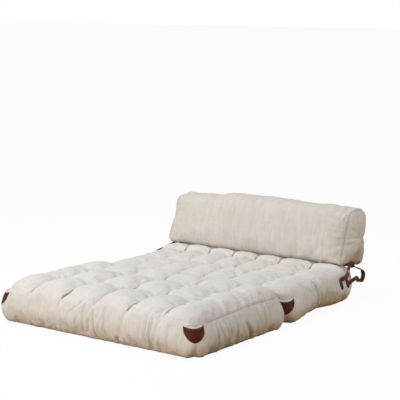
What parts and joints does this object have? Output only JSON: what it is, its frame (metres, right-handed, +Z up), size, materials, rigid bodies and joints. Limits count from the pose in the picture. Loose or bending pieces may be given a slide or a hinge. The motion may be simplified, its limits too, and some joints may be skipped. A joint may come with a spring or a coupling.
{
  "type": "futon mattress",
  "caption": "Tufted two-section floor futon that folds at its middle seam, with leather corner patches and a back bolster held to the rear edge by leather straps.",
  "frame": {"origin": "on the floor, under the middle of the whole piece's bounding box", "axes": "+Z up; +Y from the front edge towards the bolster; +X to the right of someone who faces the bolster"},
  "size_m": [1.2276, 1.5316, 0.4893],
  "materials": {
    "linen": "undyed slubby linen and cotton weave, washed and matt",
    "lining": "plain undyed cotton twill, matt",
    "filling": "carded cotton and wool felt, soft",
    "twine": "waxed cotton tufting twine",
    "leather": "oiled dark brown hide, low sheen",
    "leather_dark": "oiled dark brown hide with burnished edges"
  },
  "bodies": {
    "rear_section": {"fold_gusset": "lining", "rear_bottom_panel": "lining", "rear_corner_patch_left": "leather", "rear_corner_patch_right": "leather", "rear_filling": "filling", "rear_side_band": "linen", "rear_tuft_1_1": "twine", "rear_tuft_1_2": "twine", "rear_tuft_1_3": "twine", "rear_tuft_1_4": "twine", "rear_tuft_1_5": "twine", "rear_tuft_1_6": "twine", "rear_tuft_2_1": "twine", "rear_tuft_2_2": "twine", "rear_tuft_2_3": "twine", "rear_tuft_2_4": "twine", "rear_tuft_2_5": "twine", "rear_tuft_2_6": "twine", "rear_tufted_top": "linen", "strap_left": "leather", "strap_right": "leather", "strap_tab_front_left": "leather_dark", "strap_tab_front_right": "leather_dark", "strap_tab_rear_left": "leather_dark", "strap_tab_rear_right": "leather_dark"},
    "front_section": {"front_bottom_panel": "lining", "front_corner_patch_left": "leather", "front_corner_patch_right": "leather", "front_filling": "filling", "front_side_band": "linen", "front_tuft_1_1": "twine", "front_tuft_1_2": "twine", "front_tuft_1_3": "twine", "front_tuft_1_4": "twine", "front_tuft_1_5": "twine", "front_tuft_2_1": "twine", "front_tuft_2_2": "twine", "front_tuft_2_3": "twine", "front_tuft_2_4": "twine", "front_tuft_2_5": "twine", "front_tufted_top": "linen"},
    "bolster": {"bolster_end_left": "linen", "bolster_end_right": "linen", "bolster_filling": "filling", "bolster_wrap": "linen", "strap_keeper_left": "leather_dark", "strap_keeper_right": "leather_dark"}
  },
  "joints": [
    {"name": "fold", "type": "hinge", "parent": "rear_section", "child": "front_section", "pos_m": [0, -0.055, 0.2196], "axis": [-1, 0, 0], "range_deg": [0, 160], "deforming": ["fold_gusset"]},
    {"name": "bolster_tilt", "type": "hinge", "parent": "rear_section", "child": "bolster", "pos_m": [0, 0.6788, 0.1913], "axis": [-1, 0, 0], "range_deg": [0, 110], "deforming": ["strap_left", "strap_right"]}
  ]
}
